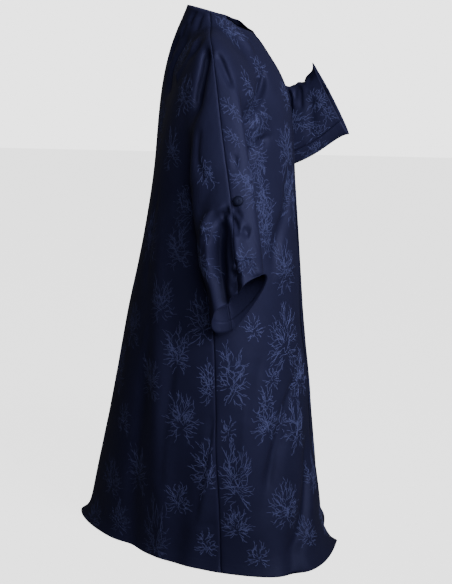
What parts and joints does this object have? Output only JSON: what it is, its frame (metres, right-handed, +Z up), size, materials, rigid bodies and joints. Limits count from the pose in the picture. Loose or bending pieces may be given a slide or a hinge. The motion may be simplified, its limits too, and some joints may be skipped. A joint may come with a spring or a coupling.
{
  "type": "kimono",
  "caption": "Floor-length, very loose open-front satin robe in its hollow worn form, sleeves cut in one with the body and covered buttons over the elbow gathers.",
  "frame": {"origin": "middle of the neck opening, level with the nape, where the robe hangs from the wearer's neck and shoulders", "axes": "+Z up, the front faces -Y, the wearer's right arm is at -X; the hem stands at z = -1.4 m"},
  "size_m": [0.603, 0.7451, 1.4],
  "materials": {
    "satin": "satin",
    "covered_button": "satin"
  },
  "bodies": {
    "root": {"right_front": "satin", "left_front": "satin", "back": "satin", "right_button": "covered_button", "left_button": "covered_button"}
  },
  "joints": []
}
